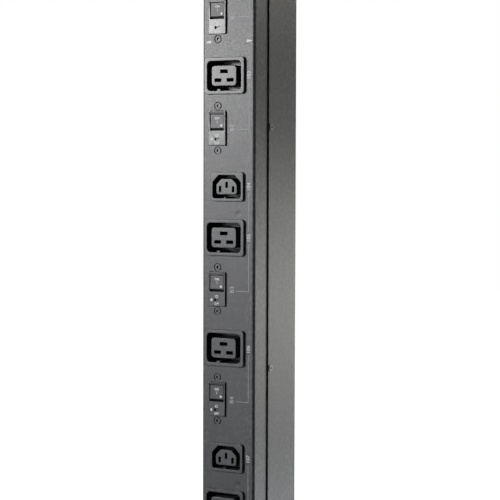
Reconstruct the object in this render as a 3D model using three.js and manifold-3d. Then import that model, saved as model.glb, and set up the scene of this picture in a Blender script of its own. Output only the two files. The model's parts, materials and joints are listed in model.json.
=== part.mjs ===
// Vertical rack power strip: a folded steel case that carries switched outlet groups.
// Millimetres. +Z runs up the strip, the outlets face -Y, and the origin is the centre of the back face.
import * as THREE from "three";
import { mergeVertices } from "three/addons/utils/BufferGeometryUtils.js";
import Module from "manifold-3d";

const wasm = await Module();
wasm.setup();

// ---- driving dimensions ----
const GAP = 0.3; // clearance between neighbouring pieces
const SHEET = 1; // folded steel sheet
const CORNER_STEPS = 2; // smoothness of a rounded corner
const ROUND_STEPS = 12; // sides of a small round piece
const HOLE_STEPS = 8; // sides of a small hidden hole

const COVER_WIDTH = 56;
const CASE_DEPTH = 80;
const CASE_LENGTH = 870;
const CASE_CORNER = 2.5;
const LIP_DEPTH = 24.7; // from the front face back to the rear channel's lips, which lap over the cover
const LAP = 14; // the cover's flanges run on this far inside the lips

const LONG_PITCH = 149.9; // from a breaker down to the next one when two outlets lie between
const SHORT_PITCH = 103.1; // the same with one outlet between
const FIRST_BREAKER_Z = 285.9;
const GROUP_KINDS = ["long", "short", "long", "short", "long", "short"]; // from the top down
const BREAKER_X = -11.3;
const LARGE_OUTLET = { x: -3.4, rise: 48.4 }; // rise: above the breaker's centre
const SMALL_OUTLET = { x: -0.4, rise: 95.7 };

const BREAKER = {
  screwPitch: 41.275,
  boss: [18.2, 32, 0.8],
  proud: 1.8,
  bodyWidth: 19,
  bodyHeight: 50,
  bodyDepth: 47,
  cavityWidth: 15.2,
  cavityTop: 13.4,
  cavityBottom: -13.5,
  cavityDepth: 9,
  guardTop: -2.2,
  guardThickness: 0.9,
  tripHole: { x: -1.6, z: -10.1, radius: 1.1 },
  pivot: { z: -1.05, depth: 2.5, radius: 1.2 },
};
const ROCKER_WIDTH = 14.4;
// Side outline of the rocker: height above the breaker's centre, then distance in front of the case's front.
const ROCKER_OUTLINE = [
  [0.1, 1.4],
  [0.1, -1.6],
  [-4, -1.6],
  [-4, 0.5],
  [-12, 0.5],
  [-12, -1.2],
  [-4.5, -5],
  [2, -5],
  [13, -1],
  [13, 1.4],
];

const LARGE = {
  bezel: [42.6, 33.9, 3],
  body: [40, 31.3, 3],
  well: [36.3, 27.6, 4],
  island: [26.5, 18.8, 3],
  proud: 2.6,
  wellDepth: 20,
  bodyDepth: 25,
  slots: [
    { x: 0, z: 3.95, width: 7.8, height: 2.9 },
    { x: -6.5, z: -4.05, width: 6.9, height: 2.9 },
    { x: 6.5, z: -4.05, width: 6.9, height: 2.9 },
  ],
};
const SMALL = {
  bezel: [35.2, 26.9, 2.5],
  body: [32.8, 24.5, 2.5],
  well: [30.1, 21.6, 2.5],
  wellCut: 6.5,
  island: [22.3, 14.6, 2.5],
  islandCut: 5.3,
  proud: 2.6,
  wellDepth: 16,
  bodyDepth: 23,
  slots: [
    { x: 0, z: 1.7, width: 2.2, height: 5.2 },
    { x: -7, z: -2.3, width: 2.2, height: 5.2 },
    { x: 7, z: -2.3, width: 2.2, height: 5.2 },
  ],
};
const SLOT_DEPTH = 14;

const PANEL_SCREW = { headRadius: 3.5, headDepth: 1.2, shankRadius: 1.7, length: 9, socketRadius: 1.3 };
const SIDE_SCREW = { headRadius: 3.3, headHeight: 0.5, shankRadius: 1.5, reach: 5.3, behindLip: 4.2 };
const SIDE_SCREW_HEIGHTS = [410, 184.1, -41.7, -267.5, -410]; // the first and last hold the end caps

const CAP = { plate: 2, skirtHeight: 8, skirtWall: 2, lugLength: 30, lugWidth: 13, lugThickness: 3 };
const GLAND = {
  depth: 40, // behind the front face
  threadRadius: 12.5,
  threadLength: 12,
  flangeWidth: 30,
  flangeHeight: 6,
  spigotRadius: 11.8,
  spigotLength: 10,
  boreRadius: 8.5,
  sealRadius: 10.2,
  sealBore: 8.7,
  sealHeight: 7,
  nutWidth: 30,
  nutHeight: 19,
  locknutWidth: 32,
  locknutHeight: 5,
};

const PEG_SPACING = 16 * 44.45; // sixteen rack units
const PEG = { shank: 3.5, head: 6.5, rivet: 5, collar: 5.5, reach: 6 };

const BUSBAR = { pitch: 8, thickness: 2, front: 20, back: 6.3, bottom: -369.7, top: 400 };
const CARRIER = { width: 44, base: 4.2, ribWidth: 3, ribHeight: 8, bottom: -345, top: 345 };
const TERMINAL = { width: 41, front: 42, back: 6.6, bottom: -405, top: -360, poleDepth: 10 };

// ---- derived dimensions ----
const FRONT_Y = -CASE_DEPTH;
const CAP_Z = CASE_LENGTH / 2 - CAP.plate; // inner face of an end cap
const SHELL_LENGTH = 2 * (CAP_Z - GAP);
const CHANNEL_WIDTH = COVER_WIDTH + 2 * (SHEET + GAP);
const SIDE_SCREW_Y = FRONT_Y + LIP_DEPTH + SIDE_SCREW.behindLip;

// ---- materials ----
function finish(color, roughness, metalness) {
  return new THREE.MeshStandardMaterial({ color, roughness, metalness });
}
const POWDER_COAT = finish(0x3c3d3f, 0.55, 0.1);
const OUTLET_PLASTIC = finish(0x1d1e20, 0.5, 0);
const BREAKER_PLASTIC = finish(0x222325, 0.25, 0);
const CAP_PLASTIC = finish(0x262729, 0.6, 0);
const BLACK_STEEL = finish(0x2a2a2b, 0.4, 0.8);
const NICKEL = finish(0xb5b3ac, 0.3, 1);
const RUBBER = finish(0x151515, 0.9, 0);
const COPPER = finish(0xb8683c, 0.35, 1);
const INSULATOR = finish(0x8d8f8a, 0.7, 0);

// ---- solids ----
function solid(geometry) {
  geometry.deleteAttribute("normal");
  geometry.deleteAttribute("uv");
  const merged = mergeVertices(geometry, 1e-4);
  return new wasm.Manifold(
    new wasm.Mesh({
      numProp: 3,
      vertProperties: merged.attributes.position.array,
      triVerts: new Uint32Array(merged.index.array),
    }),
  );
}

function meshOf(name, body, material) {
  const { vertProperties, triVerts } = body.getMesh();
  const geometry = new THREE.BufferGeometry();
  geometry.setAttribute("position", new THREE.BufferAttribute(vertProperties, 3));
  geometry.setIndex(new THREE.BufferAttribute(triVerts, 1));
  geometry.computeVertexNormals();
  const mesh = new THREE.Mesh(geometry, material);
  mesh.name = name;
  return mesh;
}

function box([x0, y0, z0], [x1, y1, z1]) {
  const geometry = new THREE.BoxGeometry(x1 - x0, y1 - y0, z1 - z0);
  return solid(geometry.translate((x0 + x1) / 2, (y0 + y1) / 2, (z0 + z1) / 2));
}

function polygon(points) {
  return new THREE.Shape(points.map(([x, y]) => new THREE.Vector2(x, y)));
}

// A rectangle centred on the origin whose lower corners are round, and whose upper ones are round or cut off.
function outline(width, height, radius, cut = 0) {
  const [w, h, r] = [width / 2, height / 2, radius];
  const shape = new THREE.Shape();
  shape.absarc(-w + r, -h + r, r, Math.PI, 1.5 * Math.PI);
  shape.absarc(w - r, -h + r, r, -Math.PI / 2, 0);
  if (cut) {
    shape.lineTo(w, h - cut);
    shape.lineTo(w - cut, h);
    shape.lineTo(-w + cut, h);
    shape.lineTo(-w, h - cut);
  } else {
    shape.absarc(w - r, h - r, r, 0, Math.PI / 2);
    shape.absarc(-w + r, h - r, r, Math.PI / 2, Math.PI);
  }
  return shape;
}

// An upright extrusion of a plan outline, from one height to another.
function column(shape, z0, z1) {
  const geometry = new THREE.ExtrudeGeometry(shape, {
    depth: z1 - z0,
    bevelEnabled: false,
    curveSegments: CORNER_STEPS,
  });
  return solid(geometry.translate(0, 0, z0));
}

// The same outline seen from the front: it reaches from one distance in front of the XZ plane to another.
function slab(shape, from, to) {
  return column(shape, from, to).rotate([90, 0, 0]);
}

// A body turned about the Y axis, from [radius, y] points that run along +Y.
function turned(profile, steps = ROUND_STEPS) {
  return solid(new THREE.LatheGeometry(profile.map(([r, y]) => new THREE.Vector2(r, y)), steps));
}

function rod(radius, y0, y1, steps = ROUND_STEPS) {
  return turned([[0, y0], [radius, y0], [radius, y1], [0, y1]], steps);
}

function hexPrism(acrossFlats, y0, y1) {
  return rod(acrossFlats / Math.sqrt(3), y0, y1, 6);
}

// A turned body that stood along +Y now stands along +Z, or along +X.
const upright = (body) => body.rotate([90, 0, 0]);
const sideways = (body) => body.rotate([0, 0, -90]);

function addMesh(parent, name, body, material) {
  const mesh = meshOf(name, body, material);
  parent.add(mesh);
  return mesh;
}

// ---- layout ----
let breakerZ = FIRST_BREAKER_Z;
const groups = GROUP_KINDS.map((kind, index) => {
  if (index > 0) breakerZ -= kind === "long" ? LONG_PITCH : SHORT_PITCH;
  return { number: index + 1, kind, z: breakerZ };
});
const capScrewHeight = SIDE_SCREW_HEIGHTS[0];

// ---- case ----
// A channel of folded sheet as long as the case: its web's outer face is at Y = 0, its flanges run along +Y.
function foldedChannel(width, depth) {
  const tube = column(outline(width, 2 * depth, CASE_CORNER), -SHELL_LENGTH / 2, SHELL_LENGTH / 2);
  const hollow = outline(width - 2 * SHEET, 2 * (depth - SHEET), CASE_CORNER - SHEET);
  const rear = box([-width, 0, -SHELL_LENGTH], [width, depth + 1, SHELL_LENGTH]);
  return tube.subtract(column(hollow, -SHELL_LENGTH, SHELL_LENGTH)).subtract(rear).translate([0, depth, 0]);
}

function enlarged([width, height, radius], by) {
  return outline(width + 2 * by, height + 2 * by, radius + by);
}

function screwHole() {
  const { headRadius, headDepth, shankRadius } = PANEL_SCREW;
  const neck = shankRadius + GAP;
  return turned([
    [0, -2],
    [headRadius + GAP + 1, -2],
    [headRadius + GAP, 0],
    [neck, headDepth],
    [neck, 2 * SHEET],
    [0, 2 * SHEET],
  ]);
}

function sideScrewHole(z) {
  const reach = CHANNEL_WIDTH;
  const hole = sideways(rod(SIDE_SCREW.shankRadius + GAP, -reach, reach, HOLE_STEPS));
  return hole.translate([0, SIDE_SCREW_Y, z]);
}

function frontCover() {
  const through = COVER_WIDTH;
  let cover = foldedChannel(COVER_WIDTH, LIP_DEPTH + LAP);
  const openings = groups.flatMap(({ kind, z }) => {
    const list = [
      [slab(enlarged(LARGE.body, GAP), -through, through), LARGE_OUTLET.x, z + LARGE_OUTLET.rise],
      [slab(enlarged(BREAKER.boss, GAP), -through, through), BREAKER_X, z],
      [screwHole(), BREAKER_X, z + BREAKER.screwPitch / 2],
      [screwHole(), BREAKER_X, z - BREAKER.screwPitch / 2],
    ];
    if (kind === "long") {
      list.push([slab(enlarged(SMALL.body, GAP), -through, through), SMALL_OUTLET.x, z + SMALL_OUTLET.rise]);
    }
    return list;
  });
  for (const [tool, x, z] of openings) {
    cover = cover.subtract(tool.translate([x, 0, z]));
  }
  cover = cover.translate([0, FRONT_Y, 0]);
  for (const z of SIDE_SCREW_HEIGHTS) {
    cover = cover.subtract(sideScrewHole(z));
  }
  return cover;
}

// ---- rear channel ----
function rearChannel() {
  let channel = foldedChannel(CHANNEL_WIDTH, CASE_DEPTH - LIP_DEPTH).rotate([0, 0, 180]);
  for (const z of SIDE_SCREW_HEIGHTS) {
    channel = channel.subtract(sideScrewHole(z));
  }
  for (const z of [-PEG_SPACING / 2, PEG_SPACING / 2]) {
    channel = channel.subtract(rod(PEG.shank + GAP, -2 * SHEET, SHEET).translate([0, 0, z]));
  }
  return channel;
}

// ---- end caps ----
// Made for the top end, with its inner face at Z = 0. The bottom cap is the same moulding turned over.
function endCap() {
  const wall = SHEET + GAP;
  const coverPlan = outline(COVER_WIDTH, CASE_DEPTH, CASE_CORNER);
  const channelPlan = outline(CHANNEL_WIDTH, CASE_DEPTH - LIP_DEPTH, CASE_CORNER);
  const rearPlate = column(channelPlan, 0, CAP.plate).translate([0, LIP_DEPTH / 2, 0]);
  const plate = column(coverPlan, 0, CAP.plate).add(rearPlate);
  const skirtWidth = COVER_WIDTH - 2 * wall;
  const skirtDepth = CASE_DEPTH - 2 * wall;
  const skirt = column(outline(skirtWidth, skirtDepth, 1), -CAP.skirtHeight, 0.1);
  const hollow = column(
    outline(skirtWidth - 2 * CAP.skirtWall, skirtDepth - 2 * CAP.skirtWall, 0.5),
    -CAP.skirtHeight - 1,
    0,
  );
  let cap = plate.add(skirt.subtract(hollow)).translate([0, -CASE_DEPTH / 2, 0]);
  const lugOuter = skirtWidth / 2;
  for (const side of [-1, 1]) {
    const outer = side * lugOuter;
    const inner = side * (lugOuter - CAP.lugThickness);
    const lug = box(
      [Math.min(outer, inner), SIDE_SCREW_Y - CAP.lugWidth / 2, -CAP.lugLength],
      [Math.max(outer, inner), SIDE_SCREW_Y + CAP.lugWidth / 2, 1],
    );
    cap = cap.add(lug);
  }
  return cap.subtract(sideScrewHole(capScrewHeight - CAP_Z));
}

function topCap() {
  return endCap().translate([0, 0, CAP_Z]);
}

function bottomCap() {
  const glandHole = upright(rod(GLAND.threadRadius + GAP, -CAP.plate, 2 * CAP.plate, 24));
  const cap = endCap().subtract(glandHole.translate([0, FRONT_Y + GLAND.depth, 0]));
  return cap.mirror([0, 0, 1]).translate([0, 0, -CAP_Z]);
}

// ---- outlets ----
// Each is drawn about its bezel's centre, with the case's front face at Y = 0.
function outletBody(spec, well, island) {
  const { bezel, body, proud, wellDepth, bodyDepth, slots } = spec;
  const floor = proud - wellDepth;
  let outlet = slab(outline(...bezel), GAP, proud).add(slab(outline(...body), -bodyDepth, GAP + 0.1));
  outlet = outlet.subtract(slab(well, floor, proud + 1).subtract(slab(island, floor - 1, proud + 2)));
  for (const { x, z, width, height } of slots) {
    outlet = outlet.subtract(
      box([x - width / 2, -proud - 1, z - height / 2], [x + width / 2, SLOT_DEPTH - proud, z + height / 2]),
    );
  }
  return outlet;
}

const largeOutlet = () => outletBody(LARGE, outline(...LARGE.well), outline(...LARGE.island));
const smallOutlet = () =>
  outletBody(SMALL, outline(...SMALL.well, SMALL.wellCut), outline(...SMALL.island, SMALL.islandCut));

// ---- breakers ----
function breakerBody() {
  const b = BREAKER;
  const back = -SHEET - GAP;
  const boss = slab(outline(...b.boss), back - 0.1, b.proud);
  const body = slab(outline(b.bodyWidth, b.bodyHeight, 0.5), -b.bodyDepth, back);
  const halfCavity = b.cavityWidth / 2;
  const cavity = box(
    [-halfCavity, b.guardThickness - b.proud, b.cavityBottom],
    [halfCavity, b.cavityDepth, b.cavityTop],
  );
  const window = box([-halfCavity, -b.proud - 1, b.guardTop], [halfCavity, 0, b.cavityTop]);
  const { x, z, radius } = b.tripHole;
  const tripHole = rod(radius, -b.proud - 1, 0, HOLE_STEPS).translate([x, 0, z]);
  const pivotBore = sideways(rod(b.pivot.radius + GAP, -b.bodyWidth, b.bodyWidth, HOLE_STEPS));
  let breaker = boss.add(body).subtract(cavity).subtract(window).subtract(tripHole);
  breaker = breaker.subtract(pivotBore.translate([0, b.pivot.depth, b.pivot.z]));
  for (const end of [-1, 1]) {
    const thread = rod(PANEL_SCREW.shankRadius + GAP, 0, PANEL_SCREW.length + 1);
    breaker = breaker.subtract(thread.translate([0, 0, (end * b.screwPitch) / 2]));
  }
  return breaker;
}

function rocker() {
  const { pivot, bodyWidth } = BREAKER;
  const side = polygon(ROCKER_OUTLINE.map(([z, front]) => [-front, z]));
  const paddle = column(side, -ROCKER_WIDTH / 2, ROCKER_WIDTH / 2).rotate([90, 0, 90]);
  const pins = sideways(rod(pivot.radius, -bodyWidth / 2 + GAP, bodyWidth / 2 - GAP, HOLE_STEPS));
  return paddle.add(pins.translate([0, pivot.depth, pivot.z]));
}

// ---- fasteners ----
function panelScrew() {
  const s = PANEL_SCREW;
  const body = turned([
    [0, 0.05],
    [s.headRadius, 0.05],
    [s.shankRadius, s.headDepth],
    [s.shankRadius, s.length],
    [0, s.length],
  ]);
  return body.subtract(hexPrism(2 * s.socketRadius, -1, s.headDepth));
}

function sideScrew(side) {
  const s = SIDE_SCREW;
  const seat = CHANNEL_WIDTH / 2 + GAP;
  const head = seat + s.headHeight;
  const body = turned([
    [0, seat - s.reach],
    [s.shankRadius, seat - s.reach],
    [s.shankRadius, seat],
    [s.headRadius, seat],
    [s.headRadius - 0.3, head],
    [0, head],
  ]).subtract(hexPrism(2, head - 0.9, head + 1));
  return body.rotate([0, 0, -90 * side]);
}

function mountingPeg() {
  return turned([
    [0, -SHEET - GAP - 1.6],
    [PEG.rivet, -SHEET - GAP - 1.6],
    [PEG.rivet, -SHEET - GAP],
    [PEG.shank, -SHEET - GAP],
    [PEG.shank, GAP],
    [PEG.collar, GAP],
    [PEG.collar, 1.3],
    [PEG.shank, 1.3],
    [PEG.shank, 3.4],
    [PEG.head, 3.4],
    [PEG.head, PEG.reach - 0.6],
    [PEG.head - 0.6, PEG.reach],
    [0, PEG.reach],
  ]);
}

// ---- cable gland ----
// Drawn along +Y and stood upright, with the cap's outer face at height 0 and the cord's way in below it.
function glandBody() {
  const g = GLAND;
  const flangeTop = -GAP;
  const flangeBottom = flangeTop - g.flangeHeight;
  const spigotEnd = flangeBottom - g.spigotLength;
  const seat = spigotEnd + g.sealHeight + 2 * GAP;
  const flange = hexPrism(g.flangeWidth, flangeBottom, flangeTop);
  const thread = rod(g.threadRadius, flangeBottom, g.threadLength, 24);
  const spigot = rod(g.spigotRadius, spigotEnd, flangeBottom + 1, 24);
  const bore = rod(g.boreRadius, spigotEnd - 1, g.threadLength + 1, 24);
  const sealBore = rod(g.sealRadius + GAP, spigotEnd - 1, seat, 24);
  return upright(flange.add(thread).add(spigot).subtract(bore).subtract(sealBore));
}

function glandSeal() {
  const g = GLAND;
  const bottom = -GAP - g.flangeHeight - g.spigotLength + GAP;
  const ring = rod(g.sealRadius, bottom, bottom + g.sealHeight, 24);
  return upright(ring.subtract(rod(g.sealBore, bottom - 1, bottom + g.sealHeight + 1, 24)));
}

function glandNut() {
  const g = GLAND;
  const top = -GAP - g.flangeHeight - GAP;
  const bottom = top - g.nutHeight;
  const spigotEnd = -GAP - g.flangeHeight - g.spigotLength;
  const corner = g.nutWidth / Math.sqrt(3);
  const dome = turned(
    [
      [0, bottom],
      [g.boreRadius + 2, bottom],
      [g.boreRadius + 4.5, bottom + 2],
      [corner, bottom + 8],
      [corner, top],
      [0, top],
    ],
    24,
  );
  const hollow = rod(g.spigotRadius + GAP, spigotEnd - GAP, top + 1, 24);
  const bore = rod(g.boreRadius, bottom - 1, top + 1, 24);
  return upright(dome.intersect(hexPrism(g.nutWidth, bottom - 1, top + 1)).subtract(hollow).subtract(bore));
}

function glandLocknut() {
  const g = GLAND;
  const seat = CAP.plate + GAP;
  const nut = hexPrism(g.locknutWidth, seat, seat + g.locknutHeight);
  return upright(nut.subtract(rod(g.threadRadius + GAP, 0, seat + g.locknutHeight + 1, 24)));
}

// ---- conductors ----
const POLES = [-2, -1, 0, 1, 2].map((place) => place * BUSBAR.pitch);

function busbar(x) {
  const half = BUSBAR.thickness / 2;
  return box([x - half, -BUSBAR.front, BUSBAR.bottom], [x + half, -BUSBAR.back, BUSBAR.top]);
}

function busbarCarrier() {
  const back = -SHEET - GAP;
  const front = back - CARRIER.base;
  const half = CARRIER.width / 2;
  let comb = box([-half, front, CARRIER.bottom], [half, back, CARRIER.top]);
  for (let place = -2.5; place <= 2.5; place += 1) {
    const x = place * BUSBAR.pitch;
    const rib = CARRIER.ribWidth / 2;
    const ribFront = front - CARRIER.ribHeight;
    comb = comb.add(box([x - rib, ribFront, CARRIER.bottom], [x + rib, front + 1, CARRIER.top]));
  }
  return comb;
}

function terminalBlock() {
  const t = TERMINAL;
  const half = t.width / 2;
  const wireY = -(t.front + t.back) / 2;
  let block = box([-half, -t.front, t.bottom], [half, -t.back, t.top]);
  for (const x of POLES) {
    const barHalf = BUSBAR.thickness / 2 + GAP;
    const barSlot = box(
      [x - barHalf, -BUSBAR.front - GAP, t.top - t.poleDepth],
      [x + barHalf, -t.back + 1, t.top + 1],
    );
    const wireHole = upright(rod(2.6, t.bottom - 1, t.bottom + 18, HOLE_STEPS)).translate([x, wireY, 0]);
    const screwWell = rod(2.8, -t.front - 1, wireY, HOLE_STEPS).translate([x, 0, t.bottom + 12]);
    block = block.subtract(barSlot).subtract(wireHole).subtract(screwWell);
  }
  return block;
}

// ---- assembly ----
const strip = new THREE.Group();

addMesh(strip, "front_cover", frontCover(), POWDER_COAT);
addMesh(strip, "rear_channel", rearChannel(), POWDER_COAT);
addMesh(strip, "top_cap", topCap(), CAP_PLASTIC);
addMesh(strip, "bottom_cap", bottomCap(), CAP_PLASTIC);

let smallOutlets = 0;
for (const { number, kind, z } of groups) {
  const group = new THREE.Group();
  group.position.set(0, FRONT_Y, z);
  addMesh(group, `breaker_${number}`, breakerBody(), BREAKER_PLASTIC).position.x = BREAKER_X;
  addMesh(group, `rocker_${number}`, rocker(), BREAKER_PLASTIC).position.x = BREAKER_X;
  for (const [place, end] of [["upper", 1], ["lower", -1]]) {
    const screw = addMesh(group, `breaker_screw_${number}_${place}`, panelScrew(), BLACK_STEEL);
    screw.position.set(BREAKER_X, 0, (end * BREAKER.screwPitch) / 2);
  }
  const large = addMesh(group, `large_outlet_${number}`, largeOutlet(), OUTLET_PLASTIC);
  large.position.set(LARGE_OUTLET.x, 0, LARGE_OUTLET.rise);
  if (kind === "long") {
    smallOutlets += 1;
    const small = addMesh(group, `small_outlet_${smallOutlets}`, smallOutlet(), OUTLET_PLASTIC);
    small.position.set(SMALL_OUTLET.x, 0, SMALL_OUTLET.rise);
  }
  strip.add(group);
}

for (const [sideName, side] of [["left", -1], ["right", 1]]) {
  SIDE_SCREW_HEIGHTS.forEach((z, index) => {
    const screw = addMesh(strip, `side_screw_${sideName}_${index + 1}`, sideScrew(side), BLACK_STEEL);
    screw.position.set(0, SIDE_SCREW_Y, z);
  });
}

for (const [place, end] of [["upper", 1], ["lower", -1]]) {
  addMesh(strip, `mounting_peg_${place}`, mountingPeg(), NICKEL).position.z = (end * PEG_SPACING) / 2;
}

const gland = new THREE.Group();
gland.position.set(0, FRONT_Y + GLAND.depth, -CASE_LENGTH / 2);
addMesh(gland, "gland_body", glandBody(), CAP_PLASTIC);
addMesh(gland, "gland_seal", glandSeal(), RUBBER);
addMesh(gland, "gland_nut", glandNut(), CAP_PLASTIC);
addMesh(gland, "gland_locknut", glandLocknut(), CAP_PLASTIC);
strip.add(gland);

const POLE_NAMES = ["line_1", "line_2", "line_3", "neutral", "earth"];
POLES.forEach((x, index) => addMesh(strip, `busbar_${POLE_NAMES[index]}`, busbar(x), COPPER));
addMesh(strip, "busbar_carrier", busbarCarrier(), INSULATOR);
addMesh(strip, "terminal_block", terminalBlock(), INSULATOR);

export default strip;
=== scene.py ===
"""Looks of the vertical rack power strip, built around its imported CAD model.

Metres. +Z runs up the strip, the outlets face -Y, and the origin is the centre of the back face.
"""
import json
import math

import bmesh
import bpy
from mathutils import Matrix, Quaternion, Vector


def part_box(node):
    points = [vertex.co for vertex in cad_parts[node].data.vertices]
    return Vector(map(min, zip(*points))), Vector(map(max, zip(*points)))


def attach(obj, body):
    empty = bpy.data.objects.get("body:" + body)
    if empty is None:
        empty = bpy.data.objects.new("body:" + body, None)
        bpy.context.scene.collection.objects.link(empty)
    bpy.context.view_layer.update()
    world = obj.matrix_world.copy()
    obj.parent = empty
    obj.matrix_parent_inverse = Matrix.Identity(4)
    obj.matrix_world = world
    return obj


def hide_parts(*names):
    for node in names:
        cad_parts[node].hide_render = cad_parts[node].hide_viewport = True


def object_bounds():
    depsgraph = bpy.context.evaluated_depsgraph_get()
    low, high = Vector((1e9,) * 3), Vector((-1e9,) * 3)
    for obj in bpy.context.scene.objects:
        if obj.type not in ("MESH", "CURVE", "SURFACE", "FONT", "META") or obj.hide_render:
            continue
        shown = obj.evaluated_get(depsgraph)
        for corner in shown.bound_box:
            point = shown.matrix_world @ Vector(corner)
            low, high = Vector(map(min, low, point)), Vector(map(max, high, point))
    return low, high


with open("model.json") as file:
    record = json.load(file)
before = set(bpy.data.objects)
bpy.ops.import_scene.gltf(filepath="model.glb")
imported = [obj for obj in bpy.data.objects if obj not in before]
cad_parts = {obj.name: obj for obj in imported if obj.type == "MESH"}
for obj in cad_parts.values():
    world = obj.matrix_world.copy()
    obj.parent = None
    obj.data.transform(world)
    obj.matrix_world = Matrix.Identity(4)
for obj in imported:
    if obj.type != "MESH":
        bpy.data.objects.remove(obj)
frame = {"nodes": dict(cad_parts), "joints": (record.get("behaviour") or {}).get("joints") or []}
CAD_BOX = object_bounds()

MM = 0.001
CORNER_STEPS = 6  # segments in a rounded corner
FILLET_STEPS = 3  # segments in a rounded edge
ROUND_STEPS = 48  # segments round a turned piece
SHARP_ANGLE = math.radians(38)
SMALLEST_RADIUS = 0.02 * MM
CASE = "case"

NODES = frame["nodes"]
JOINTS = frame["joints"]
GROUPS = range(1, len(JOINTS) + 1)
SMALL_OUTLETS = sorted(name for name in NODES if name.startswith("small_outlet_"))
LARGE_OUTLETS = sorted(name for name in NODES if name.startswith("large_outlet_"))
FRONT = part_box("front_cover")[0].y
GAP = 0.3 * MM  # clearance between neighbouring pieces


# ---------------------------------------------------------------- outlines and shells


class Outline:
    """A convex outline, anticlockwise in its own plane, whose corners are rounded."""

    def __init__(self, corners, radius):
        self.corners = [Vector(corner) for corner in corners]
        self.radius = radius

    def ring(self, inset=0.0):
        """Its points after every side has moved inwards by inset."""
        points = []
        count = len(self.corners)
        for index, corner in enumerate(self.corners):
            before = (corner - self.corners[index - 1]).normalized()
            after = (self.corners[(index + 1) % count] - corner).normalized()
            normal = Vector((-before.y, before.x))
            next_normal = Vector((-after.y, after.x))
            turn = math.acos(max(-1.0, min(1.0, before.dot(after))))
            moved = corner + (normal + next_normal) * (inset / (1 + normal.dot(next_normal)))
            radius = max(self.radius - inset, SMALLEST_RADIUS)
            start = moved - before * radius * math.tan(turn / 2)
            centre = start + normal * radius
            for step in range(CORNER_STEPS + 1):
                spoke = Matrix.Rotation(turn * step / CORNER_STEPS, 2) @ (-normal * radius)
                points.append(centre + spoke)
        return points


def rectangle(width, height, radius, cut=0.0, centre=(0.0, 0.0)):
    """A rounded rectangle, whose two upper corners may be cut off at 45 degrees."""
    right, top = width / 2, height / 2
    corners = [(-right, -top), (right, -top)]
    if cut:
        corners += [(right, top - cut), (right - cut, top), (-right + cut, top), (-right, top - cut)]
    else:
        corners += [(right, top), (-right, top)]
    return Outline([(x + centre[0], z + centre[1]) for x, z in corners], radius)


class Circle:
    """A round outline, with lobes for a six-lobe screw socket."""

    def __init__(self, radius, centre=(0.0, 0.0), lobe=0.0, steps=ROUND_STEPS):
        self.radius, self.centre, self.lobe, self.steps = radius, Vector(centre), lobe, steps

    def ring(self, inset=0.0):
        """Its points, inset metres further in."""
        points = []
        for step in range(self.steps):
            angle = math.tau * step / self.steps
            reach = self.radius - inset + self.lobe * math.cos(6 * angle)
            points.append(self.centre + Vector((math.cos(angle), math.sin(angle))) * reach)
        return points


def outer_round(outline, level, radius):
    """Rings that turn from a wall into the flat face at level."""
    rings = []
    for step in range(FILLET_STEPS + 1):
        angle = math.pi / 2 * step / FILLET_STEPS
        rings.append((outline, radius * (1 - math.cos(angle)), level - radius * (1 - math.sin(angle))))
    return rings


def mouth_round(outline, level, radius):
    """Rings that turn from the flat face at level down into a hole."""
    rings = []
    for step in range(FILLET_STEPS + 1):
        angle = math.pi / 2 * step / FILLET_STEPS
        rings.append((outline, -radius * (1 - math.sin(angle)), level - radius * (1 - math.cos(angle))))
    return rings


def middle(node):
    """The centre of a CAD node's box."""
    low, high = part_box(node)
    return (low + high) / 2


def facing_front(centre_x, centre_z):
    """Places (x, z, distance in front of the case's front face) in the frame."""
    return lambda a, b, level: Vector((centre_x + a, FRONT - level, centre_z + b))


def join(mesh, low, high):
    """Adds a wall between two rings with as many points."""
    count = len(low)
    for index in range(count):
        after = (index + 1) % count
        mesh.faces.new((low[index], low[after], high[after], high[index]))


class Shell:
    """A closed mesh made of rings of points, the walls between them and the flat faces that they bound."""

    def __init__(self, place):
        self.mesh = bmesh.new()
        self.place = place

    def ring(self, outline, inset, level):
        """The outline's points as vertices, level metres along the shell's own depth."""
        return [self.mesh.verts.new(self.place(p.x, p.y, level)) for p in outline.ring(inset)]

    def wall(self, specs):
        """Walls through the rings in specs: (outline, inset, level). Returns the first and last ring."""
        rings = [self.ring(*spec) for spec in specs]
        for low, high in zip(rings, rings[1:]):
            join(self.mesh, low, high)
        return rings[0], rings[-1]

    def face(self, *rings):
        """The flat face between an outer ring and any rings inside it."""
        edges = []
        for ring in rings:
            for start, end in zip(ring, ring[1:] + ring[:1]):
                edges.append(self.mesh.edges.get((start, end)) or self.mesh.edges.new((start, end)))
        bmesh.ops.triangle_fill(self.mesh, use_beauty=True, edges=edges)

    def bar(self, specs):
        """A solid through the rings in specs, with a flat face at each end."""
        first, last = self.wall(specs)
        self.face(first)
        self.face(last)

    def tube(self, specs):
        """A ring-shaped solid, whose wall through the rings in specs ends where it starts."""
        first, last = self.wall(specs)
        join(self.mesh, last, first)

    def pocket(self, specs):
        """A blind hole through the rings in specs. Returns its mouth."""
        mouth, bottom = self.wall(specs)
        self.face(bottom)
        return mouth

    def piece(self, name, material):
        return piece_from(self.mesh, name, material)


def smooth(mesh):
    """Smooths a bmesh across its shallow edges."""
    for face in mesh.faces:
        face.smooth = True
    for edge in mesh.edges:
        edge.smooth = len(edge.link_faces) == 2 and edge.calc_face_angle() < SHARP_ANGLE


def piece_from(mesh, name, material):
    """An object from a bmesh, smooth across its shallow edges."""
    bmesh.ops.recalc_face_normals(mesh, faces=mesh.faces)
    smooth(mesh)
    data = bpy.data.meshes.new(name)
    mesh.to_mesh(data)
    mesh.free()
    data.materials.append(material)
    piece = bpy.data.objects.new(name, data)
    bpy.context.scene.collection.objects.link(piece)
    even_normals(piece)
    return piece


def even_normals(piece):
    """Large flat faces keep their flat shading beside rounded edges."""
    weighted = piece.modifiers.new("even_normals", "WEIGHTED_NORMAL")
    weighted.keep_sharp = True
    weighted.weight = 80


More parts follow.
